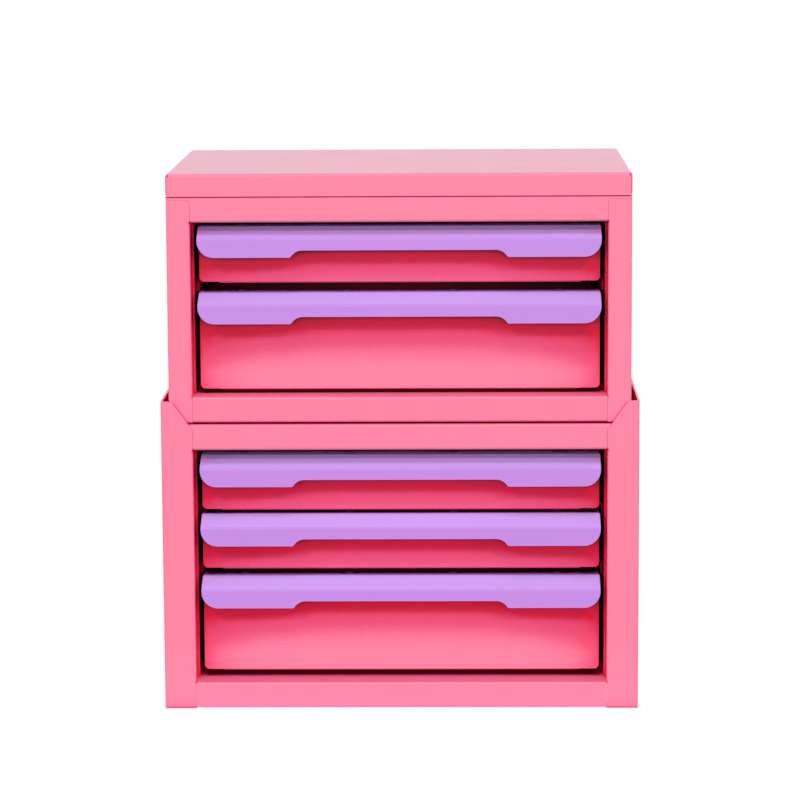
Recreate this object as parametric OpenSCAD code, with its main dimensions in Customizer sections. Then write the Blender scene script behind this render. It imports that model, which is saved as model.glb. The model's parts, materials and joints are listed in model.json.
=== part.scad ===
// Stacking sheet-metal mini drawers. A three-drawer unit carries a two-drawer unit between
// its ears, and a folded cap closes the top.
// Millimetres, +Z up, drawers open towards -Y, origin on the floor under the middle.
// Every piece is folded from sheet, so most modules extrude a bent_sheet() section.

/* [Overall] */
// Depth of the lower unit, front face to back face
lower_d = 134; // [110:1:180]
// Width of a drawer front
front_w = 167.5; // [140:0.5:220]
// Gap between a drawer front and the opening at each side
front_side_gap = 2.85; // [2.4:0.05:5]
// Width of the upper unit's front posts
post_w = 10; // [8:0.5:16]
// Gap between the upper unit and each ear wall
ear_gap = 2.6; // [0.4:0.1:4]

/* [Sheet] */
// Thickness of the carcass and drawer sheet
sheet = 0.8; // [0.6:0.1:1.0]
// Inside radius of every bend
bend_in = 0.4; // [0.2:0.1:0.8]
// Gap left where two folded edges meet in one face
seam = 0.08; // [0.05:0.01:0.2]
// Radius of the round relief where a rail meets a post at the opening
relief_r = 0.4; // [0.3:0.1:0.6]
// Chamfer at the outer corners of the posts' flat blanks
blank_chamfer = 0.6; // [0.3:0.1:0.8]

/* [Carcass] */
// Height of the lower unit's front rails
lower_rail_h = 11; // [8:0.5:16]
// Height of the upper unit's front rails
upper_rail_h = 10.8; // [8:0.2:16]
// Height of the bottom rail's lower edge above the post ends
rail_lift = 0.4; // [0.2:0.1:1.5]
// Depth of the posts' return lips
post_lip_d = 14; // [10:0.5:20]
// Depth of the rails' return lips
rail_lip_d = 7; // [4:0.5:9]
// Height of the slanting ends of the lower unit's top rail
flare_h = 2.5; // [1.5:0.1:4]
// Depth of the upper unit's top panel where it laps over the posts
lap_d = 3; // [2:0.1:5]
// Radius of the upper unit's posts at their inner top corners
post_corner_r = 1.5; // [0.8:0.1:2.5]
// Width of the flanges that the side walls and posts stand on
foot_flange_w = 8; // [5:0.5:9]
// Drop of the top and bottom panels' hidden flanges
panel_flange_h = 8; // [5:0.5:9]
// Clearance between a panel and the walls around it
panel_gap = 0.1; // [0.05:0.05:0.3]

/* [Stacking] */
// Height of the ears above the lower unit's top
ear_h = 9.6; // [6:0.2:16]
// Length of the flat top of an ear, seen from the front
ear_flat_w = 4.6; // [3:0.2:6]
// Radius of the ear's upper corner
ear_r = 1.5; // [0.5:0.1:3]
// Play of the upper unit, under it and behind the ears' flanges
stack_gap = 0.2; // [0.1:0.05:0.5]

/* [Cap] */
// Height of the cap
cap_h = 9.4; // [7:0.2:16]
// Width of the flanges turned in under the cap's sides
cap_return_w = 10; // [6:0.5:14]
// Width of the side skirts' edges left uncovered by the front skirt
cap_reveal = 0.5; // [0.3:0.1:0.8]
// Open slit between the cap's front skirt and its sides
cap_slit = 0.6; // [0.2:0.05:1]

/* [Runners] */
// Distance of the guides' front edges behind the front face
guide_setback = 10; // [9.5:0.5:12]
// Width of the guides' rear flanges
guide_flange_w = 6; // [4:0.5:8]
// Distance of the runners' front ends behind the front of a tray
runner_setback = 14; // [1:0.5:30]
// Width of a runner's ledge
ledge_w = 9.2; // [6:0.2:12]
// Height of a runner's leg, where there is room for it
leg_h = 6; // [4:0.5:8]
// Lead-in chamfer at the front of a ledge
ledge_chamfer = 4; // [2:0.5:6]
// Running clearance between a ledge and a tray
run_gap = 0.2; // [0.1:0.05:0.4]

/* [Drawers] */
// Height of a small drawer, front's lower edge to pull's top
small_h = 23.8; // [22:0.2:40]
// Height of a large drawer, front's lower edge to pull's top
large_h = 41.2; // [30:0.2:80]
// Distance of the drawer fronts behind the front face
front_setback = 10.5; // [9:0.5:14]
// Gap under the lower unit's large drawer
lower_gap_1 = 2.8; // [2.4:0.1:5]
// Gap under the lower unit's middle drawer
lower_gap_2 = 2.8; // [1.6:0.1:5]
// Gap under the lower unit's top drawer
lower_gap_3 = 1.5; // [1.3:0.1:5]
// Gap between the lower unit's top pull and its rail
lower_gap_top = 3.6; // [1.6:0.1:5]
// Gap under the upper unit's large drawer
upper_gap_1 = 1.5; // [1.3:0.1:5]
// Gap under the upper unit's small drawer
upper_gap_2 = 4.0; // [1.6:0.1:5]
// Gap between the upper unit's top pull and its rail
upper_gap_top = 2.55; // [1.6:0.05:5]
// Distance of a tray's side inside the front's edge
tray_inset = 0.4; // [0.2:0.1:1]
// Space between a tray and the back of the carcass
tray_back_gap = 4; // [2:0.5:12]
// Distance of a tray's rim below the top of its pull
tray_rim_drop = 2.6; // [2.2:0.1:5]
// Height of the folded hem round a tray's rim
hem_h = 4; // [3:0.5:6]
// Gap inside the hem
hem_gap = 0.4; // [0.2:0.1:0.6]
// Width of the tabs that join a tray to its front
tab_w = 8; // [6:0.5:12]
// Depth of a front's upper and lower flanges
front_flange_d = 9; // [8:0.5:11]
// Clearance between the front's lower flange and the ledges
notch_gap = 1; // [0.6:0.1:2]
// Height of the notches at the lower corners of a front
notch_h = 0.6; // [0.4:0.05:1.2]
// Corner radius of a front
front_corner_r = 1.9; // [1:0.1:3]

/* [Pulls] */
// Overhang of a pull past each side of its front
pull_overhang = 0.25; // [0:0.05:1]
// Reach of the pull's lip in front of the drawer front
pull_reach = 9.7; // [8:0.1:10.2]
// Fall of the sloping face from the front to the lip
pull_fall = 4.2; // [3:0.1:6]
// Height of the lip at its ends
lip_h = 8.0; // [7.2:0.1:11]
// Corner radius at the ends of the lip
lip_corner_r = 7; // [3:0.1:7]
// Height of the finger recess in the lip
recess_h = 3; // [1.5:0.1:4]
// Length of the lip at each end, up to the flat top of the recess
lip_end_w = 43.8; // [25:0.2:55]
// Radius of the recess shoulders
shoulder_r = 5.5; // [4.5:0.1:8]
// Radius of the lip's corners beside the recess
shoulder_corner_r = 1.2; // [0.8:0.1:1.8]
// Depth of the pull's flange on top of the front
pull_flange_d = 8.5; // [7:0.5:8.5]

/* [Rivets] */
// Radius of a rivet's shank
rivet_r = 1.2; // [1:0.05:1.6]
// Radius of a rivet's head
rivet_head_r = 2.2; // [2:0.1:2.6]
// Thickness of a rivet's head
rivet_head_t = 0.6; // [0.4:0.1:0.8]
// Clearance round a rivet's shank
rivet_fit = 0.05; // [0.02:0.01:0.1]
// Distance of the outer rivets from the sides of the front
rivet_inset = 17.5; // [15:0.5:30]

/* [Hidden] */
$fn = 48;
bend_out = bend_in + sheet;
cut = 1; // how far a cutting shape runs past what it cuts

upper_d = lower_d - 2 * (sheet + stack_gap); // stands between the ears' front and rear flanges
opening_w = front_w + 2 * front_side_gap;
guide_x = opening_w / 2 - sheet; // inner face of a guide
post_edge_x = opening_w / 2 + seam; // edge of a post beside the rails
rail_x = post_edge_x - seam;
upper_w = opening_w + 2 * post_w;
lower_w = upper_w + 2 * (ear_gap + sheet);
// The ear's slanting edge starts below the unit's top, and the rails' ends follow it
ear_slant = (lower_w / 2 - ear_flat_w - post_edge_x) / (ear_h + flare_h);
flare_w = flare_h * ear_slant;
lap_h = bend_out + seam; // height of the top panel's bend over the upper unit's posts

// Drawers from the top down: height of each, and its lower edge above its opening's floor
heights = [small_h, large_h, small_h, small_h, large_h];
upper_bases = [upper_gap_1 + large_h + upper_gap_2, upper_gap_1];
lower_bases = [
    lower_gap_1 + large_h + lower_gap_2 + small_h + lower_gap_3,
    lower_gap_1 + large_h + lower_gap_2,
    lower_gap_1
];
upper_opening_h = upper_bases[0] + small_h + upper_gap_top;
lower_opening_h = lower_bases[0] + small_h + lower_gap_top;

lower_floor = rail_lift + lower_rail_h;
lower_head = lower_floor + lower_opening_h;
lower_top = lower_head + lower_rail_h;
ear_top = lower_top + ear_h;
upper_base = lower_top + stack_gap;
upper_floor = upper_base + rail_lift + upper_rail_h;
upper_head = upper_floor + upper_opening_h;
upper_top = upper_head + upper_rail_h;
bases = concat(
    [for (b = upper_bases) upper_floor + b],
    [for (b = lower_bases) lower_floor + b]
);

// Drawers are placed from the front face of their unit, and all have the same length
y_drawer = front_setback;
y_tray = y_drawer + sheet;
y_tray_back = upper_d - 3 * sheet - tray_back_gap;
y_rivet = y_drawer + (sheet + pull_flange_d) / 2;
tray_w = front_w - 2 * tray_inset;
pull_w = front_w + 2 * pull_overhang;
ledge_edge_x = guide_x - ledge_w;
notch_x = ledge_edge_x - notch_gap;
rivet_x = front_w / 2 - rivet_inset;
rivet_crown_r = rivet_head_r - rivet_head_t;

DRAWERS = [0:4];
SIDES = [["left", -1], ["right", 1]];

sheet_pink = "#fb7a9f";
pull_lilac = "#c795ea";
steel_grey = "#b9b6bd";

// ---- Sheet sections -------------------------------------------------------------------

// Length that a bend takes from each run beside it
function setback(turn) = (turn > 0 ? bend_out : bend_in) * tan(abs(turn) / 2);

// Part of a ring between two angles
module ring_sector(r_out, r_in, start, turn) {
    steps = 4;
    intersection() {
        difference() {
            circle(r_out);
            circle(r_in);
        }
        polygon(concat([[0, 0]], [for (i = [0:steps])
            let (a = start + turn * i / steps) 2 * r_out * [cos(a), sin(a)]]));
    }
}

// Section of a folded sheet. It starts at the origin along +X with the sheet on the left of
// its path. Runs are measured along the path to the sharp corners, and turns are positive
// to the left.
module bent_sheet(runs, turns, k = 0) {
    before = k == 0 ? 0 : setback(turns[k - 1]);
    after = k == len(turns) ? 0 : setback(turns[k]);
    flat = runs[k] - before - after;
    square([flat, sheet]);
    if (k < len(turns)) {
        turn = turns[k];
        path_r = turn > 0 ? bend_out : -bend_in; // signed radius of the path's own bend
        translate([flat, path_r]) {
            if (turn > 0)
                ring_sector(bend_out, bend_in, -90, turn);
            else
                ring_sector(bend_out, bend_in, 90 + turn, -turn);
            rotate(turn)
                translate([0, -path_r])
                    bent_sheet(runs, turns, k + 1);
        }
    }
}

// Extrudes a section drawn in Y and Z from left to right
module across(x0, x1) {
    translate([x0, 0, 0])
        rotate([90, 0, 90])
            linear_extrude(x1 - x0)
                children();
}

// Extrudes a section drawn in X and Z from one depth to another
module along(y0, y1) {
    translate([0, y1, 0])
        rotate([90, 0, 0])
            linear_extrude(y1 - y0)
                children();
}

// Extrudes a plan drawn in X and Y from one height to another
module up(z0, z1) {
    translate([0, 0, z0])
        linear_extrude(z1 - z0)
            children();
}

// Turns a right-hand piece into the piece for either side
module on_side(side) {
    mirror([side > 0 ? 0 : 1, 0, 0])
        children();
}

module both_sides() {
    for (side = [-1, 1])
        on_side(side)
            children();
}

// Moves a piece that is drawn with its unit's front face at Y = 0 to its place
module in_unit(d) {
    translate([0, -d / 2, 0])
        children();
}

// ---- Carcass --------------------------------------------------------------------------

// Side wall with front post, return lip and rear flange. The top is its highest point, the
// shoulder is where the cross panels end, and the opening lies between floor and head.
module side_wall(side, width, d, base, top, shoulder, floor_z, head_z) {
    flat_x = opening_w / 2 + bend_out; // end of the return lip's bend
    color(sheet_pink)
    on_side(side)
    difference() {
        union() {
            up(base, top)
                translate([flat_x, 0])
                    bent_sheet([width / 2 - flat_x, d, width / 2 - post_edge_x], [90, 90]);
            up(floor_z + seam, head_z - seam)
                translate([opening_w / 2, post_lip_d])
                    rotate(-90)
                        bent_sheet([post_lip_d, 2 * bend_out], [90]);
            for (z = [[base, floor_z + seam], [head_z - seam, top]])
                translate([post_edge_x, 0, z[0]])
                    cube([bend_out, sheet, z[1] - z[0]]);
            along(foot_flange_w + seam, d - 2 * bend_out)
                translate([width / 2 - foot_flange_w, base])
                    bent_sheet([foot_flange_w, 2 * bend_out], [90]);
            across(post_edge_x, width / 2 - bend_out)
                translate([0, base + 2 * bend_out])
                    rotate(-90)
                        bent_sheet([2 * bend_out, foot_flange_w], [90]);
        }
        along(foot_flange_w + seam, d - 2 * bend_out)
            translate([width / 2, base])
                round_corner(bend_out);
        across(post_edge_x - cut, width / 2 - bend_out)
            translate([0, base])
                mirror([1, 0])
                    round_corner(bend_out);
        for (y = [0, d])
            for (z = [base, top])
                translate([width / 2, y, z])
                    rotate([0, 45, 0])
                        cube([blank_chamfer * sqrt(2), 2 * bend_out, blank_chamfer * sqrt(2)],
                            center = true);
        relief_holes(floor_relief(floor_z));
        relief_holes(head_relief(head_z));
        if (top > shoulder)
            along(-cut, d + cut)
                eared_head(top, shoulder);
        else
            along(-cut, lap_d + seam)
                lapped_head(width, top);
    }
}

// What a round corner leaves away of the square corner at the origin, piece on its upper left
module round_corner(r) {
    difference() {
        translate([-r, -cut])
            square([r + cut, r + cut]);
        translate([-r, r])
            circle(r);
    }
}

// Heights of the reliefs at the lower and upper corners of an opening
function floor_relief(floor_z) = floor_z + seam - relief_r / 2;
function head_relief(head_z) = head_z - seam + relief_r / 2;

// Round reliefs where a rail's ends meet the posts at the edge of the opening
module relief_holes(z) {
    both_sides()
        translate([post_edge_x, 0, z])
            rotate([90, 0, 0])
                cylinder(r = relief_r, h = 3 * sheet, center = true);
}

// Slanting upper end of a post, which runs on up the side of an ear
module eared_head(top, shoulder) {
    head_x = post_edge_x + (top - shoulder + flare_h) * ear_slant;
    polygon([
        [post_edge_x - cut, shoulder - flare_h], [post_edge_x, shoulder - flare_h],
        [head_x, top], [head_x, top + cut], [post_edge_x - cut, top + cut]
    ]);
    // Round corner between the slanting edge and the ear's flat top
    turn = atan(1 / ear_slant);
    reach = ear_r * tan(turn / 2);
    middle = [head_x + reach, top - ear_r];
    low = [head_x - reach * cos(turn), top - reach * sin(turn)];
    difference() {
        polygon([
            middle, [middle.x, top], [middle.x, top + cut], [low.x - cut, low.y], low
        ]);
        translate(middle)
            circle(ear_r);
    }
}

// Room for the top panel's lap over a post with a round inner corner
module lapped_head(width, top) {
    head_z = top - lap_h - seam;
    translate([post_edge_x - cut, head_z])
        square([width / 2 - post_edge_x + 2 * cut, lap_h + seam + cut]);
    translate([post_edge_x, head_z])
        rotate(180)
            round_corner(post_corner_r);
}

// Cross panel between the side walls: rear flange, plate, front rail and return lip. The
// rail reaches from z0 up to the plate's upper face at z1. A top panel either has slanting
// rail ends or laps over the posts.
module cross_panel(width, d, z0, z1, is_top, is_lapped = false) {
    half_w = width / 2 - sheet - panel_gap;
    y_end = d - 2 * sheet; // in front of the back panel
    color(sheet_pink)
    difference() {
        union() {
            intersection() {
                across(-half_w, half_w)
                    translate([y_end, z1 - panel_flange_h])
                        rotate(90)
                            bent_sheet(
                                [panel_flange_h, y_end, z1 - z0, rail_lip_d], [90, 90, 90]
                            );
                along(-cut, d)
                    rail_face(z0, z1, is_top && !is_lapped ? flare_w : 0);
            }
            across(-half_w + bend_out, half_w - bend_out)
                translate([y_end, z1 - panel_flange_h])
                    rotate(90)
                        bent_sheet([panel_flange_h, y_end - bend_out], [90]);
            both_sides()
                along(bend_out, y_end - bend_out)
                    translate([half_w, z1 - panel_flange_h])
                        rotate(90)
                            bent_sheet([panel_flange_h, 2 * bend_out], [90]);
            if (is_lapped)
                both_sides()
                    lap(width / 2, z1);
        }
        relief_holes(is_top ? head_relief(z0) : floor_relief(z1));
    }
}

// End of a top panel's front bend over a post, with a web round the post's corner
module lap(end_x, z1) {
    r = post_corner_r + seam;
    difference() {
        across(rail_x - cut, end_x)
            translate([lap_d, z1])
                rotate(180)
                    bent_sheet([lap_d, lap_h], [90]);
        up(z1 - lap_h - cut, z1 + cut)
            translate([end_x, 0])
                round_corner(bend_out);
    }
    along(0, sheet)
        translate([rail_x, z1 - lap_h])
            difference() {
                translate([-cut, -r])
                    square([r + cut, r + seam]);
                translate([r, -r])
                    circle(r);
            }
}

// Front view of a rail whose ends spread towards the top
module rail_face(z0, z1, spread) {
    top_x = rail_x + spread;
    polygon([
        [-rail_x, z0 - cut], [rail_x, z0 - cut],
        [rail_x, z1 - flare_h], [top_x, z1], [top_x, z1 + cut],
        [-top_x, z1 + cut], [-top_x, z1], [-rail_x, z1 - flare_h]
    ]);
}

// Plate inside the side walls' rear flanges
module back_panel(width, d, z0, z1) {
    half_w = width / 2 - bend_out - panel_gap;
    color(sheet_pink)
        translate([-half_w, d - 2 * sheet, z0])
            cube([2 * half_w, sheet, z1 - z0]);
}

// Inner guide plate, lapped inside the post's return lip
module guide(side, d, z0, z1) {
    y_end = d - 3 * sheet;
    color(sheet_pink)
        on_side(side)
            up(z0, z1)
                translate([guide_x + guide_flange_w, y_end])
                    rotate(180)
                        bent_sheet([guide_flange_w, y_end - guide_setback], [90]);
}

// L-shaped runner that carries one side of a tray. Its leg ends above the floor below it.
module runner(side, d, tray_z, floor_z) {
    ledge_z = tray_z - run_gap;
    leg = min(leg_h, ledge_z - floor_z);
    y0 = y_tray + runner_setback;
    color(sheet_pink)
    on_side(side)
    difference() {
        along(y0, d - 4 * sheet)
            translate([guide_x, ledge_z - leg])
                rotate(90)
                    bent_sheet([leg, ledge_w], [90]);
        up(ledge_z - leg - cut, ledge_z + cut)
            polygon([
                [ledge_edge_x - cut, y0 - cut],
                [ledge_edge_x + ledge_chamfer, y0 - cut],
                [ledge_edge_x + ledge_chamfer, y0],
                [ledge_edge_x, y0 + ledge_chamfer],
                [ledge_edge_x - cut, y0 + ledge_chamfer]
            ]);
    }
}

// Inverted pan with open corners. Its sides have flanges that lie on the upper unit's top.
module top_cap() {
    half_w = upper_w / 2;
    return_x = half_w - cap_return_w;
    side_y = sheet + cap_slit;
    color(sheet_pink) {
        across(-half_w + bend_out, half_w - bend_out)
            translate([upper_d, upper_top])
                rotate(90)
                    bent_sheet([cap_h, upper_d, cap_h], [90, 90]);
        along(side_y, upper_d - side_y)
            translate([return_x, upper_top])
                bent_sheet(
                    [cap_return_w, cap_h, upper_w, cap_h, cap_return_w], [90, 90, 90, 90]
                );
        // The front and back skirts run on towards the corners below their bends
        both_sides()
            for (y = [0, upper_d - sheet])
                translate([return_x, y, upper_top])
                    cube([cap_return_w - cap_reveal, sheet, cap_h - bend_out - seam]);
    }
}

// ---- Drawers --------------------------------------------------------------------------

// Front with a flange above and below. The lower one stops short of the ledges.
module drawer_front(base, height) {
    flange_z = base + height - sheet;
    color(sheet_pink)
    difference() {
        union() {
            intersection() {
                across(-front_w / 2, front_w / 2)
                    translate([y_drawer + front_flange_d, flange_z])
                        rotate(180)
                            bent_sheet([front_flange_d, flange_z - base - notch_h], [90]);
                along(y_drawer - cut, y_drawer + front_flange_d + cut)
                    front_face(base + notch_h, flange_z);
            }
            across(-notch_x, notch_x)
                translate([y_drawer + front_flange_d, flange_z])
                    rotate(180)
                        bent_sheet(
                            [front_flange_d, flange_z - base, front_flange_d], [90, 90]
                        );
        }
        rivet_places(flange_z)
            cylinder(r = rivet_r, h = 3 * sheet, center = true);
    }
}

// Front view of a drawer front, with its two round lower corners
module front_face(z0, z1) {
    r = front_corner_r;
    for (x = [-front_w / 2 + r, front_w / 2 - r])
        translate([x, z0 + r])
            circle(r);
    translate([-front_w / 2 + r, z0])
        square([front_w - 2 * r, z1 - z0]);
    translate([-front_w / 2, z0 + r])
        square([front_w, z1 - z0 - r]);
}

// Folded pan with hemmed walls. Its rear wall closes the two side walls behind.
module tray(base, height) {
    floor_z = base + sheet;
    wall_h = height - sheet - tray_rim_drop;
    floor_x = tray_w / 2 - bend_out;
    rim_x = tray_w / 2 - 2 * hem_h;
    color(sheet_pink) {
        along(y_tray + bend_out, y_tray_back - bend_out)
            translate([-tray_w / 2, floor_z + wall_h])
                rotate(-90)
                    bent_sheet([wall_h, tray_w, wall_h], [90, 90]);
        // The floor stops short of the bend inside the front
        translate([-floor_x, y_tray + bend_in, floor_z])
            cube([2 * floor_x, 2 * bend_out, sheet]);
        across(-floor_x, floor_x)
            translate([y_tray_back - 2 * bend_out, floor_z])
                bent_sheet([2 * bend_out, wall_h], [90]);
        translate([-tray_w / 2, y_tray_back - sheet, floor_z + 2 * bend_out])
            cube([tray_w, sheet, wall_h - 2 * bend_out]);
        both_sides() {
            up(floor_z + 2 * bend_out, floor_z + wall_h - hem_h)
                translate([tray_w / 2 - tab_w, y_tray])
                    bent_sheet([tab_w, 2 * bend_out], [90]);
            along(y_tray + 2 * hem_h, y_tray_back - 2 * hem_h)
                translate([tray_w / 2, floor_z + wall_h])
                    hem();
        }
        across(-rim_x, rim_x)
            translate([y_tray_back, floor_z + wall_h])
                hem();
    }
}

// Section of a rim folded down on the inside of a wall whose outer face is at the origin
module hem() {
    translate([-sheet - hem_gap / 2, 0])
        ring_sector(sheet + hem_gap / 2, hem_gap / 2, 0, 180);
    translate([-2 * sheet - hem_gap, -hem_h])
        square([sheet, hem_h]);
}

// Full-width pull: flange on top of the front, sloping face and lip with a finger recess
module pull(base, height) {
    top_z = base + height;
    slope = atan(pull_fall / pull_reach);
    face_d = norm([pull_fall, pull_reach]);
    lip_z = top_z - pull_fall - lip_h;
    color(pull_lilac)
    difference() {
        intersection() {
            across(-pull_w / 2, pull_w / 2)
                translate([y_drawer + pull_flange_d, top_z])
                    rotate(180)
                        bent_sheet([pull_flange_d, face_d, lip_h], [slope, 90 - slope]);
            along(-cut, y_drawer + pull_flange_d + cut)
                pull_face(lip_z, top_z);
        }
        // The flange is as wide as the front that it lies on
        both_sides()
            translate([front_w / 2, y_drawer, top_z - sheet - cut])
                cube([pull_w, pull_flange_d + cut, sheet + 2 * cut]);
        rivet_places(top_z)
            cylinder(r = rivet_r, h = 3 * sheet, center = true);
    }
}

// Front view of a pull: round lower corners, and the recess in the middle of the lip
module pull_face(z0, z1) {
    r = lip_corner_r;
    difference() {
        union() {
            for (x = [-pull_w / 2 + r, pull_w / 2 - r])
                translate([x, z0 + r])
                    circle(r);
            translate([-pull_w / 2 + r, z0])
                square([pull_w - 2 * r, z1 - z0]);
            translate([-pull_w / 2, z0 + r])
                square([pull_w, z1 - z0 - r]);
        }
        translate([0, z0])
            recess();
    }
}

// Opening under the middle of the lip. Each shoulder is an arc that ends level with the
// recess top, and a smaller arc rounds the lip's corner below it.
module recess() {
    big = shoulder_r;
    small = shoulder_corner_r;
    big_x = pull_w / 2 - lip_end_w;
    big_z = recess_h - big;
    small_x = big_x + sqrt(pow(big + small, 2) - pow(small - big_z, 2));
    meet_z = small - (small - big_z) * small / (big + small);
    difference() {
        union() {
            translate([-small_x, -cut])
                square([2 * small_x, cut + meet_z]);
            for (x = [-big_x, big_x])
                translate([x, big_z])
                    circle(big);
            translate([-big_x, -cut])
                square([2 * big_x, recess_h + cut]);
        }
        for (x = [-small_x, small_x])
            translate([x, small])
                circle(small);
    }
}

// Where the rivets go through the flanges of pull and front
module rivet_places(z) {
    for (k = [-1, -1 / 3, 1 / 3, 1])
        translate([k * rivet_x, y_rivet, z])
            children();
}

module rivets(base, height) {
    shank_h = 2 * sheet;
    color(steel_grey)
        rivet_places(base + height) {
            cylinder(r1 = rivet_head_r, r2 = rivet_crown_r, h = rivet_head_t);
            translate([0, 0, -shank_h])
                cylinder(r = rivet_r - rivet_fit, h = shank_h);
            translate([0, 0, -shank_h - rivet_head_t])
                cylinder(r = rivet_crown_r, h = rivet_head_t);
        }
}

// ---- Nodes ----------------------------------------------------------------------------

in_unit(lower_d)  // lower_top_panel
        cross_panel(lower_w, lower_d, lower_head, lower_top, true);
in_unit(lower_d)  // lower_bottom_panel
        cross_panel(lower_w, lower_d, rail_lift, lower_floor, false);
in_unit(lower_d)  // lower_back_panel
        back_panel(lower_w, lower_d, 0, lower_top);
in_unit(upper_d)  // upper_top_panel
        cross_panel(upper_w, upper_d, upper_head, upper_top, true, true);
in_unit(upper_d)  // upper_bottom_panel
        cross_panel(upper_w, upper_d, upper_base + rail_lift, upper_floor, false);
in_unit(upper_d)  // upper_back_panel
        back_panel(upper_w, upper_d, upper_base, upper_top);
in_unit(upper_d)
        top_cap();

for (s = SIDES) {
    in_unit(lower_d)
            side_wall(
                s[1], lower_w, lower_d, 0, ear_top, lower_top, lower_floor, lower_head
            );
    in_unit(upper_d)
            side_wall(
                s[1], upper_w, upper_d, upper_base, upper_top, upper_top, upper_floor,
                upper_head
            );
    in_unit(lower_d)
            guide(s[1], lower_d, lower_floor, lower_top - bend_out);
    in_unit(upper_d)
            guide(s[1], upper_d, upper_floor, upper_top - bend_out);
}

for (i = DRAWERS) {
    name = str("drawer_", i + 1);
    is_upper = i < len(upper_bases);
    d = is_upper ? upper_d : lower_d;
    for (s = SIDES)
        in_unit(d)
                runner(s[1], d, bases[i] + sheet, is_upper ? upper_floor : lower_floor);
    in_unit(d)
            tray(bases[i], heights[i]);
    in_unit(d)
            drawer_front(bases[i], heights[i]);
    in_unit(d)
            pull(bases[i], heights[i]);
    in_unit(d)
            rivets(bases[i], heights[i]);
}
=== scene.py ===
import json
import math

import bpy
from mathutils import Matrix, Vector

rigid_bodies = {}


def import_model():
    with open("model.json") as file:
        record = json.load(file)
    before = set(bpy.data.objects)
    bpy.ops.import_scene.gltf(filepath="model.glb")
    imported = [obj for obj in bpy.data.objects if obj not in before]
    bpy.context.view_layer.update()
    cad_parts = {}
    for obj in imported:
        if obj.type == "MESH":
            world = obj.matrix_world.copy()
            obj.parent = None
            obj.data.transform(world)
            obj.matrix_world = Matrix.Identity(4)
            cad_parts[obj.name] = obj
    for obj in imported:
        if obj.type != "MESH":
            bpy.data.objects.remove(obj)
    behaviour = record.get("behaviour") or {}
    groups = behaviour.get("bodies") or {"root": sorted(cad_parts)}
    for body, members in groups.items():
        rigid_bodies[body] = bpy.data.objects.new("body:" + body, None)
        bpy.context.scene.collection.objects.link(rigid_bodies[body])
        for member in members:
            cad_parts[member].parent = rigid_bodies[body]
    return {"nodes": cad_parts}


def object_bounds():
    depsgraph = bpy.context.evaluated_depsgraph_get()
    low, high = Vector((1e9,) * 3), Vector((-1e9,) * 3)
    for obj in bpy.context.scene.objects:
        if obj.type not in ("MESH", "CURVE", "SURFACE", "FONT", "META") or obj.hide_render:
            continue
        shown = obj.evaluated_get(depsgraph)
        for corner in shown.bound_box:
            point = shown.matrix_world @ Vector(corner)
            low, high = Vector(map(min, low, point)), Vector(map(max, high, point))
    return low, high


for leftover in list(bpy.data.objects):
    bpy.data.objects.remove(leftover)

print("drawers: loading the folded sheet pieces")
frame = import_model()
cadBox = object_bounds()
nodes = frame["nodes"]


# Helpers

noiseMiddle = 0.5  # what a noise texture gives on average


def addObject(name, data):
    thing = bpy.data.objects.new(name, data)
    bpy.context.scene.collection.objects.link(thing)
    return thing


def emptyTree(owner):
    owner.use_nodes = True
    owner.node_tree.nodes.clear()
    return owner.node_tree


def place(tree, kind, x, y, **settings):
    node = tree.nodes.new(kind)
    node.location = (x, y)
    for name, value in settings.items():
        setattr(node, name, value)
    return node


def fill(node, values):
    for name, value in values.items():
        node.inputs[name].default_value = value


def placeStep(tree, x, y, start=0.0, end=1.0):
    # Rises smoothly from nought to one while its value goes from start to end
    step = place(tree, "ShaderNodeMapRange", x, y, interpolation_type="SMOOTHSTEP")
    fill(step, {"From Min": start, "From Max": end})
    return step


def placeWander(tree, x, y, where, noise, spread):
    # Wanders over the surface about the value that goes into the last node's third input
    texture = place(tree, "ShaderNodeTexNoise", x, y)
    fill(texture, noise)
    tree.links.new(where.outputs["Object"], texture.inputs["Vector"])
    centred = place(tree, "ShaderNodeMath", x + 220, y, operation="SUBTRACT")
    centred.inputs[1].default_value = noiseMiddle
    tree.links.new(texture.outputs["Fac"], centred.inputs[0])
    wander = place(tree, "ShaderNodeMath", x + 440, y, operation="MULTIPLY_ADD")
    tree.links.new(centred.outputs[0], wander.inputs[0])
    tree.links.new(spread, wander.inputs[1])
    return wander


def newGroup(name, inputs, outputs):
    # Each input comes with its starting value, and four numbers make it a colour
    group = bpy.data.node_groups.new(name, "ShaderNodeTree")
    for socketName, value in inputs.items():
        kind = "NodeSocketColor" if isinstance(value, tuple) else "NodeSocketFloat"
        socket = group.interface.new_socket(socketName, in_out="INPUT", socket_type=kind)
        socket.default_value = value
    for socketName, kind in outputs.items():
        group.interface.new_socket(socketName, in_out="OUTPUT", socket_type=kind)
    start = place(group, "NodeGroupInput", -900, 0)
    end = place(group, "NodeGroupOutput", 700, 0)
    return group, start, end


# Camera

cameraValues = {
    "lens": 146.7,  # mm
    "sensor": 36,  # mm
    "place": (0.0258, -1.41, 0.3381),
    "tiltDown": 0.1522,  # radians
    "turnLeft": 0.0191,
    "roll": -0.0056,
    "seesFrom": 0.05,
    "seesTo": 30,
}


def makeCamera(values):
    data = bpy.data.cameras.new("studioCamera")
    data.sensor_width = values["sensor"]
    data.lens = values["lens"]
    data.clip_start = values["seesFrom"]
    data.clip_end = values["seesTo"]
    camera = addObject("studioCamera", data)
    turn = Matrix.Rotation(values["turnLeft"], 4, "Z")
    tilt = Matrix.Rotation(math.pi / 2 - values["tiltDown"], 4, "X")
    roll = Matrix.Rotation(values["roll"], 4, "Z")
    camera.matrix_world = Matrix.Translation(values["place"]) @ turn @ tilt @ roll
    bpy.context.scene.camera = camera


print("drawers: setting up the camera")
makeCamera(cameraValues)


# Shared effects

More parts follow.
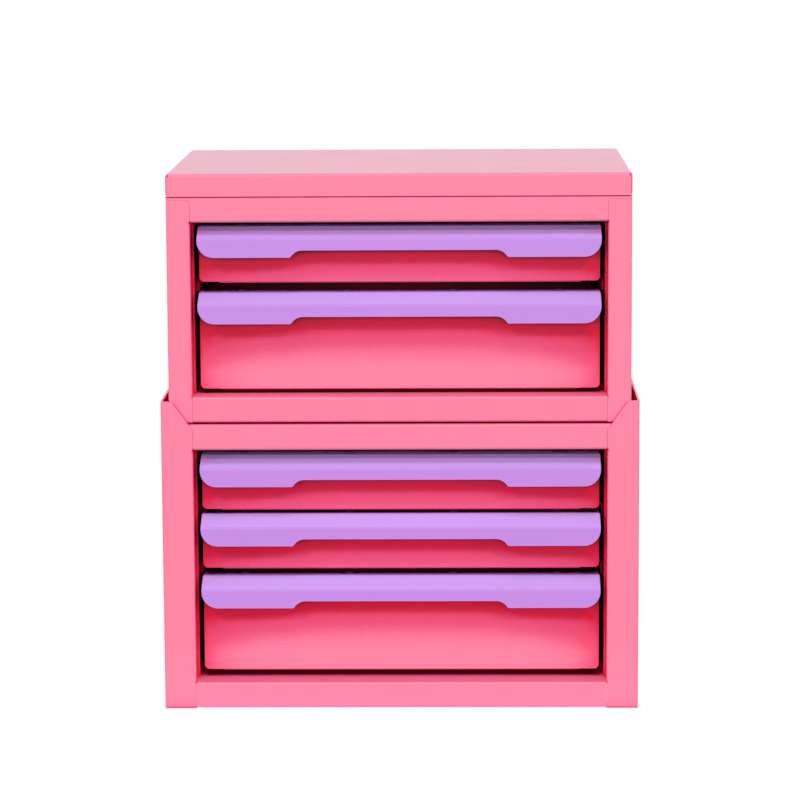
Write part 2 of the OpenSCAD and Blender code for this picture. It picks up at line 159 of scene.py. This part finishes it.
powderNoises = {
    "peel": {"Detail": 2.0, "Roughness": 0.45},
    "grain": {"Detail": 1.0, "Roughness": 0.5},
    "patches": {"Scale": 38.0, "Detail": 3.0, "Roughness": 0.55},
}


def makePowderGroup(inputs):
    # Orange peel and fine grain of a sprayed and baked coat, in duller and shinier patches
    outputs = {"Height": "NodeSocketFloat", "Roughness": "NodeSocketFloat"}
    group, start, end = newGroup("powderCoatTexture", inputs, outputs)
    link = group.links.new
    where = place(group, "ShaderNodeTexCoord", -900, 300)
    scales = {}
    for k, name in enumerate(["Peel Size", "Grain Size"]):
        invert = place(group, "ShaderNodeMath", -700, 200 - 200 * k, operation="DIVIDE")
        invert.inputs[0].default_value = 1
        link(start.outputs[name], invert.inputs[1])
        scales[name] = invert.outputs[0]
    peel = place(group, "ShaderNodeTexNoise", -480, 300)
    fill(peel, powderNoises["peel"])
    grain = place(group, "ShaderNodeTexNoise", -480, 0)
    fill(grain, powderNoises["grain"])
    link(where.outputs["Object"], peel.inputs["Vector"])
    link(where.outputs["Object"], grain.inputs["Vector"])
    link(scales["Peel Size"], peel.inputs["Scale"])
    link(scales["Grain Size"], grain.inputs["Scale"])
    both = place(group, "ShaderNodeMix", -200, 200, data_type="FLOAT")
    link(start.outputs["Grain Share"], both.inputs["Factor"])
    link(peel.outputs["Fac"], both.inputs["A"])
    link(grain.outputs["Fac"], both.inputs["B"])
    link(both.outputs["Result"], end.inputs["Height"])

    spread = start.outputs["Roughness Spread"]
    patches = placeWander(group, -480, -300, where, powderNoises["patches"], spread)
    link(start.outputs["Roughness"], patches.inputs[2])
    link(patches.outputs[0], end.inputs["Roughness"])
    return group


colourChanges = {
    # Three that run with a normal's height, from 0 for level to 1 for straight up
    "sheen": (0.35, 0.9),
    "flatTops": (0.93, 0.99),
    # upward: where faces that look up take the painted light and reflection tone
    "upward": (0.75, 0.9),
    "clouds": {"Scale": 24.0, "Detail": 4.0, "Roughness": 0.6},
    "skySamples": 16,
}


def makePaintedShadeColourGroup(inputs):
    # The coat's colour with painted shade, deeper and redder the less sky a place sees, and
    # where it shines
    outputs = {"Colour": "NodeSocketColor", "Gloss": "NodeSocketFloat"}
    group, start, end = newGroup("coatColourWithPaintedShade", inputs, outputs)
    link = group.links.new

    # The share of the sky that a place sees, along a normal that leans upward
    facing = place(group, "ShaderNodeNewGeometry", -1500, 400)
    upward = place(group, "ShaderNodeCombineXYZ", -1500, 150)
    link(start.outputs["Upward Tilt"], upward.inputs["Z"])
    leaning = place(group, "ShaderNodeVectorMath", -1300, 300, operation="ADD")
    link(facing.outputs["Normal"], leaning.inputs[0])
    link(upward.outputs[0], leaning.inputs[1])
    unit = place(group, "ShaderNodeVectorMath", -1120, 300, operation="NORMALIZE")
    link(leaning.outputs[0], unit.inputs[0])
    sky = place(group, "ShaderNodeAmbientOcclusion", -920, 300)
    sky.samples = colourChanges["skySamples"]
    link(start.outputs["Reach"], sky.inputs["Distance"])
    link(unit.outputs[0], sky.inputs["Normal"])

    # Bends and slopes that look up shine, and flat tops as far as Flat Gloss says
    height = place(group, "ShaderNodeSeparateXYZ", -1300, 700)
    link(facing.outputs["Normal"], height.inputs[0])
    sheen = placeStep(group, -1100, 700, *colourChanges["sheen"])
    link(height.outputs["Z"], sheen.inputs["Value"])
    flatTops = placeStep(group, -1100, 950, *colourChanges["flatTops"])
    flatTops.inputs["To Min"].default_value = 1
    link(height.outputs["Z"], flatTops.inputs["Value"])
    link(start.outputs["Flat Gloss"], flatTops.inputs["To Max"])
    gloss = place(group, "ShaderNodeMath", -880, 900, operation="MULTIPLY")
    link(sheen.outputs["Result"], gloss.inputs[0])
    link(flatTops.outputs["Result"], gloss.inputs[1])
    link(gloss.outputs[0], end.inputs["Gloss"])

    # Painted light and reflection: faces that look up take a tone of their own that stands
    # in for the light and reflection they catch
    paintedUpwardLightMask = placeStep(group, -900, 600, *colourChanges["upward"])
    link(height.outputs["Z"], paintedUpwardLightMask.inputs["Value"])
    clearToneWithPaintedUpwardLight = place(group, "ShaderNodeMix", -700, 700, data_type="RGBA")
    link(paintedUpwardLightMask.outputs["Result"], clearToneWithPaintedUpwardLight.inputs["Factor"])
    link(start.outputs["Clear Colour"], clearToneWithPaintedUpwardLight.inputs["A"])
    link(start.outputs["Painted Upward Light Colour"], clearToneWithPaintedUpwardLight.inputs["B"])

    # Painted shade: from the hidden tone to the clear one as more of the sky is seen
    tone = start.outputs["Hidden Colour"]
    paintedShadeTones = {
        "Deep": start.outputs["Deep Colour"],
        "Shade": start.outputs["Shade Colour"],
        "Soft": start.outputs["Soft Colour"],
        "Clear": clearToneWithPaintedUpwardLight.outputs["Result"],
    }
    for k, (name, lighter) in enumerate(paintedShadeTones.items()):
        step = placeStep(group, -680 + 200 * k, 350)
        link(sky.outputs["AO"], step.inputs["Value"])
        link(start.outputs[name + " From"], step.inputs["From Min"])
        link(start.outputs[name + " To"], step.inputs["From Max"])
        mix = place(group, "ShaderNodeMix", -580 + 200 * k, 100, data_type="RGBA")
        link(step.outputs["Result"], mix.inputs["Factor"])
        link(tone, mix.inputs["A"])
        link(lighter, mix.inputs["B"])
        tone = mix.outputs["Result"]

    # Faint clouds of lighter and darker coat
    where = place(group, "ShaderNodeTexCoord", -800, -300)
    spread = start.outputs["Tone Spread"]
    clouds = placeWander(group, -600, -300, where, colourChanges["clouds"], spread)
    clouds.inputs[2].default_value = 1
    clouded = place(group, "ShaderNodeHueSaturation", 450, 100)
    link(tone, clouded.inputs["Color"])
    link(clouds.outputs[0], clouded.inputs["Value"])
    link(clouded.outputs["Color"], end.inputs["Colour"])
    return group


# Finishes

carcassCoat = {
    "name": "carcassPinkCoat",
    "colours": {
        "Clear Colour": (0.935, 0.22, 0.342, 1),  # where most of the sky is seen
        "Soft Colour": (0.93, 0.2, 0.33, 1),
        "Shade Colour": (0.85, 0.075, 0.19, 1),
        "Deep Colour": (0.73, 0.0, 0.045, 1),
        # The hidden tone is painted near-black shade in gaps
        "Hidden Colour": (0.02, 0.0, 0.001, 1),  # where next to none is seen
        # The upward tone is painted light and reflection on faces that look up
        "Painted Upward Light Colour": (0.88, 0.21, 0.4, 1),  # the clear one of faces that look up
    },
    # The painted shade's reach and limits, set by shares of the sky seen, with the tone
    # spread and flat gloss
    "recess": {
        "Upward Tilt": 0.9,
        "Reach": 0.03,  # m, within which things hide the sky
        "Deep From": 0.06,  # share of the sky, and so are all From and To
        "Deep To": 0.16,
        "Shade From": 0.43,
        "Shade To": 0.465,
        "Soft From": 0.65,
        "Soft To": 0.72,
        "Clear From": 0.725,
        "Clear To": 0.83,
        "Tone Spread": 0.03,
        "Flat Gloss": 1.0,
    },
    "texture": {
        "Peel Size": 0.0018,  # m
        "Grain Size": 0.0004,
        "Grain Share": 0.3,
        "Roughness": 0.36,
        "Roughness Spread": 0.08,
    },
    "bumpDepth": 0.000012,  # m
    "edgeRadius": 0.00012,
    "edgeSamples": 6,
    "ior": 1.3,
    "coat": 0.52,
    "coatRoughness": 0.25,
}

drawerCoat = carcassCoat | {
    "name": "drawerPinkCoat",
    # The fronts take the painted shadow under the pulls' lips and the painted shade in the
    # gaps
    "recess": carcassCoat["recess"] | {"Deep From": 0.15, "Deep To": 0.25},
}

pullCoat = carcassCoat | {
    "name": "pullLilacCoat",
    # Painted light and shade: where the pulls see less sky they turn lighter and more
    # magenta, standing in for the light that rails and fronts above keep off their slopes,
    # and near-black in the gaps
    "colours": {
        "Clear Colour": (0.53, 0.248, 0.73, 1),
        "Soft Colour": (0.66, 0.4, 1.0, 1),
        "Shade Colour": (0.9, 0.27, 1.0, 1),
        "Deep Colour": (0.95, 0.26, 1.0, 1),
        "Hidden Colour": (0.05, 0.0, 0.03, 1),
        "Painted Upward Light Colour": (0.63, 0.405, 1.0, 1),
    },
    "recess": carcassCoat["recess"] | {
        "Upward Tilt": 0.0,
        "Reach": 0.012,
        "Deep From": 0.14,
        "Deep To": 0.26,
        "Shade From": 0.28,
        "Shade To": 0.38,
        "Soft From": 0.38,
        "Soft To": 0.42,
        "Clear From": 0.42,
        "Clear To": 0.46,
    },
    "texture": carcassCoat["texture"] | {"Roughness": 0.5},
    "coat": 0.15,
}

trayCoat = carcassCoat | {
    "name": "trayPinkCoat",
    # Painted shade inside the trays, deepening towards their walls and corners
    "recess": carcassCoat["recess"] | {
        "Upward Tilt": 0.0,
        "Reach": 0.1,
        "Deep From": 0.12,
        "Deep To": 0.25,
        "Shade From": 0.3,
        "Shade To": 0.4,
        "Soft From": 0.45,
        "Soft To": 0.55,
        "Clear From": 0.55,
        "Clear To": 0.7,
    },
}

sideCoat = carcassCoat | {
    "name": "sidePinkCoat",
    # Painted shade in the sides' narrow gaps turns crimson rather than near-black
    "colours": carcassCoat["colours"] | {
        "Deep Colour": (0.9, 0.0, 0.06, 1),
        "Hidden Colour": (0.7, 0.0, 0.05, 1),
    },
}

panelCoat = carcassCoat | {
    "name": "panelPinkCoat",
    # The bottom panels' painted shade is lighter and sets in only in tighter places
    "colours": carcassCoat["colours"] | {
        "Shade Colour": (1.0, 0.2, 0.37, 1),
        "Hidden Colour": (0.25, 0.0, 0.02, 1),
    },
    "recess": carcassCoat["recess"] | {
        "Deep From": 0.01,
        "Deep To": 0.07,
        "Shade From": 0.12,
        "Shade To": 0.25,
        "Flat Gloss": 0.0,
    },
    "ior": 1.2,
    "coat": 1.0,
}

# Painted shade: the rivets take a dark copy of the lilac coat, as if they lay in the shade
# of the gap they sit in
rivetShadedCoat = pullCoat | {
    "name": "rivetLilacCoatInPaintedShade",
    "colours": pullCoat["colours"] | {
        "Clear Colour": (0.16, 0.05, 0.2, 1),
        "Soft Colour": (0.12, 0.03, 0.14, 1),
        "Shade Colour": (0.1, 0.02, 0.12, 1),
        "Deep Colour": (0.08, 0.01, 0.09, 1),
        "Painted Upward Light Colour": (0.12, 0.03, 0.14, 1),
    },
    "coat": 0.0,
}

print("drawers: building the shared coat effects")
powderGroup = makePowderGroup(carcassCoat["texture"])
paintedShadeColourGroup = makePaintedShadeColourGroup(carcassCoat["colours"] | carcassCoat["recess"])


def makeCoat(values):
    material = bpy.data.materials.new(values["name"])
    tree = emptyTree(material)
    link = tree.links.new
    output = place(tree, "ShaderNodeOutputMaterial", 600, 0)
    surface = place(tree, "ShaderNodeBsdfPrincipled", 300, 0)
    surface.inputs["Metallic"].default_value = 0.0
    surface.inputs["IOR"].default_value = values["ior"]
    surface.inputs["Coat Roughness"].default_value = values["coatRoughness"]
    link(surface.outputs["BSDF"], output.inputs["Surface"])

    colour = place(tree, "ShaderNodeGroup", -300, 200, node_tree=paintedShadeColourGroup)
    fill(colour, values["colours"] | values["recess"])
    link(colour.outputs["Colour"], surface.inputs["Base Color"])
    gloss = place(tree, "ShaderNodeMath", -50, 0, operation="MULTIPLY")
    gloss.inputs[1].default_value = values["coat"]
    link(colour.outputs["Gloss"], gloss.inputs[0])
    link(gloss.outputs[0], surface.inputs["Coat Weight"])

    texture = place(tree, "ShaderNodeGroup", -300, -100, node_tree=powderGroup)
    fill(texture, values["texture"])
    link(texture.outputs["Roughness"], surface.inputs["Roughness"])

    edge = place(tree, "ShaderNodeBevel", -100, -350, samples=values["edgeSamples"])
    edge.inputs["Radius"].default_value = values["edgeRadius"]
    bump = place(tree, "ShaderNodeBump", 80, -250)
    bump.inputs["Strength"].default_value = 1.0
    bump.inputs["Distance"].default_value = values["bumpDepth"]
    link(texture.outputs["Height"], bump.inputs["Height"])
    link(edge.outputs["Normal"], bump.inputs["Normal"])
    link(bump.outputs["Normal"], surface.inputs["Normal"])
    return material


print("drawers: coating the pieces")
carcassFinish = makeCoat(carcassCoat)
finishEnds = {  # by the end of a piece's name
    "_front": makeCoat(drawerCoat),
    "_rivets": makeCoat(rivetShadedCoat),
    "_tray": makeCoat(trayCoat),
    "_side": makeCoat(sideCoat),
    "_bottom_panel": makeCoat(panelCoat),
    "_pull": makeCoat(pullCoat),
}


def finishOf(name):
    for ending, finish in finishEnds.items():
        if name.endswith(ending):
            return finish
    return carcassFinish


for name, node in nodes.items():
    for slot in node.material_slots:
        slot.material = finishOf(name)


# Floor and surroundings

lookingRays = ["Is Camera Ray", "Is Glossy Ray", "Is Transmission Ray"]


def isLooking(tree, x, y):
    # One for the rays that look at a thing, nought for those that light it
    rays = place(tree, "ShaderNodeLightPath", x, y)
    total = rays.outputs[lookingRays[0]]
    for k, name in enumerate(lookingRays[1:], start=1):
        either = place(tree, "ShaderNodeMath", x + 200 * k, y, operation="MAXIMUM")
        tree.links.new(total, either.inputs[0])
        tree.links.new(rays.outputs[name], either.inputs[1])
        total = either.outputs[0]
    return total


floorValues = {
    "halfWidth": 4.0,
    "nearAlbedo": (0.95, 0.95, 0.96, 1),
    "farAlbedo": (0.32, 0.32, 0.323, 1),
    "nearTo": 0.01,  # m outside the object's box, where the near albedo begins to fall
    "farFrom": 0.032,
    "seenAlbedo": (0.17, 0.17, 0.172, 1),
    "glow": 0.9,  # added for the camera and in reflections
    "whiteFrom": 0.14,  # m from the middle, where the floor begins to fade to white
    "whiteTo": 0.27,
}


def makeFloorMesh(halfWidth):
    data = bpy.data.meshes.new("studioFloor")
    corners = [(-1, -1), (1, -1), (1, 1), (-1, 1)]
    data.from_pydata(
        [(x * halfWidth, y * halfWidth, 0) for x, y in corners], [], [(0, 1, 2, 3)]
    )
    return addObject("studioFloor", data)


def awayFromObject(tree, nearTo, farFrom):
    # Nought on the ground that the object covers and one well outside it
    halfWidth, halfDepth = cadBox[1][:2]
    around = place(tree, "ShaderNodeTexCoord", -900, 700)
    outside = around.outputs["Object"]
    for k, (operation, other) in enumerate([
        ("ABSOLUTE", None),
        ("SUBTRACT", (halfWidth, halfDepth, 0)),
        ("MAXIMUM", (0, 0, 0)),
    ]):
        step = place(tree, "ShaderNodeVectorMath", -700 + 180 * k, 700, operation=operation)
        tree.links.new(outside, step.inputs[0])
        if other:
            step.inputs[1].default_value = other
        outside = step.outputs["Vector"]
    distance = place(tree, "ShaderNodeVectorMath", -160, 700, operation="LENGTH")
    tree.links.new(outside, distance.inputs[0])
    away = placeStep(tree, 50, 700, nearTo, farFrom)
    tree.links.new(distance.outputs["Value"], away.inputs["Value"])
    return away.outputs["Result"]


def makeFloor(values):
    floor = makeFloorMesh(values["halfWidth"])
    material = bpy.data.materials.new("paleFloor")
    tree = emptyTree(material)
    link = tree.links.new
    output = place(tree, "ShaderNodeOutputMaterial", 900, 0)

    # What lights the object
    lit = place(tree, "ShaderNodeBsdfDiffuse", 300, 300)
    away = awayFromObject(tree, values["nearTo"], values["farFrom"])
    albedo = place(tree, "ShaderNodeMix", 200, 600, data_type="RGBA")
    fill(albedo, {"A": values["nearAlbedo"], "B": values["farAlbedo"]})
    link(away, albedo.inputs["Factor"])
    link(albedo.outputs["Result"], lit.inputs["Color"])

    # What is seen, with the object's shadow near it and white farther off
    pale = place(tree, "ShaderNodeBsdfDiffuse", -100, 100)
    pale.inputs["Color"].default_value = values["seenAlbedo"]
    glow = place(tree, "ShaderNodeEmission", -100, -50)
    glow.inputs["Strength"].default_value = values["glow"]
    near = place(tree, "ShaderNodeAddShader", 150, 50)
    link(pale.outputs[0], near.inputs[0])
    link(glow.outputs[0], near.inputs[1])
    white = place(tree, "ShaderNodeEmission", 150, -150)
    where = place(tree, "ShaderNodeTexCoord", -700, -300)
    distance = place(tree, "ShaderNodeVectorMath", -500, -300, operation="LENGTH")
    link(where.outputs["Object"], distance.inputs[0])
    fade = placeStep(tree, -300, -300, values["whiteFrom"], values["whiteTo"])
    link(distance.outputs["Value"], fade.inputs["Value"])
    seen = place(tree, "ShaderNodeMixShader", 400, -50)
    link(fade.outputs["Result"], seen.inputs[0])
    link(near.outputs[0], seen.inputs[1])
    link(white.outputs[0], seen.inputs[2])

    choose = place(tree, "ShaderNodeMixShader", 650, 0)
    link(isLooking(tree, -100, 500), choose.inputs[0])
    link(lit.outputs[0], choose.inputs[1])
    link(seen.outputs[0], choose.inputs[2])
    link(choose.outputs[0], output.inputs["Surface"])
    floor.data.materials.append(material)


worldValues = {
    "colour": (1, 1, 1, 1),
    "ambient": 0.2,  # strength that lights the object
    "seen": 1.0,  # strength behind it and in reflections
}


def makeWorld(values):
    world = bpy.data.worlds.new("studioWorld")
    bpy.context.scene.world = world
    tree = emptyTree(world)
    link = tree.links.new
    output = place(tree, "ShaderNodeOutputWorld", 500, 0)
    sky = place(tree, "ShaderNodeBackground", 250, 0)
    sky.inputs["Color"].default_value = values["colour"]
    strength = place(tree, "ShaderNodeMapRange", 50, 0)
    fill(strength, {"To Min": values["ambient"], "To Max": values["seen"]})
    link(isLooking(tree, -600, 0), strength.inputs["Value"])
    link(strength.outputs["Result"], sky.inputs["Strength"])
    link(sky.outputs[0], output.inputs["Surface"])


# Lamps

lampValues = {
    "distance": 5,  # m
    "target": (0, -0.06, 0.11),
    # Angles in degrees, and the sides in metres. Share is the part of full white that
    # the lamp gives a face turned to it.
    "lamps": {
        "frontLamp": {"azimuth": 0, "elevation": 11, "share": 0.33, "sides": (3.6, 0.8)},
        "sideLeft": {"azimuth": -65, "elevation": 5, "share": 0.23, "sides": (3.0, 0.5)},
        "sideRight": {"azimuth": 65, "elevation": 5, "share": 0.23, "sides": (3.0, 0.5)},
        "backLeft": {"azimuth": -130, "elevation": 6, "share": 0.46, "sides": (3.0, 0.5)},
        "backRight": {"azimuth": 130, "elevation": 6, "share": 0.46, "sides": (3.0, 0.5)},
        "keyLeft": {"azimuth": -24, "elevation": 32.5, "share": 0.14, "sides": (0.4, 0.25)},
        "keyRight": {"azimuth": 24, "elevation": 32.5, "share": 0.14, "sides": (0.4, 0.25)},
        "topLamp": {"azimuth": 0, "elevation": 59, "share": 0.28, "sides": (1.5, 1.3)},
    },
}


def makeLamp(name, values, target, distance):
    data = bpy.data.lights.new(name, "AREA")
    data.shape = "RECTANGLE"
    data.size, data.size_y = values["sides"]
    data.energy = values["share"] * (math.pi * distance) ** 2
    azimuth = math.radians(values["azimuth"])
    elevation = math.radians(values["elevation"])
    away = Vector((
        math.sin(azimuth) * math.cos(elevation),
        -math.cos(azimuth) * math.cos(elevation),
        math.sin(elevation),
    ))
    lamp = addObject(name, data)
    lamp.location = Vector(target) + away * distance
    lamp.rotation_euler = away.to_track_quat("Z", "Y").to_euler()


print("drawers: floor, surroundings and lamps")
makeFloor(floorValues)
makeWorld(worldValues)
for name, values in lampValues["lamps"].items():
    makeLamp(name, values, lampValues["target"], lampValues["distance"])

bpy.context.scene.view_settings.view_transform = "Standard"

print("drawers: done")
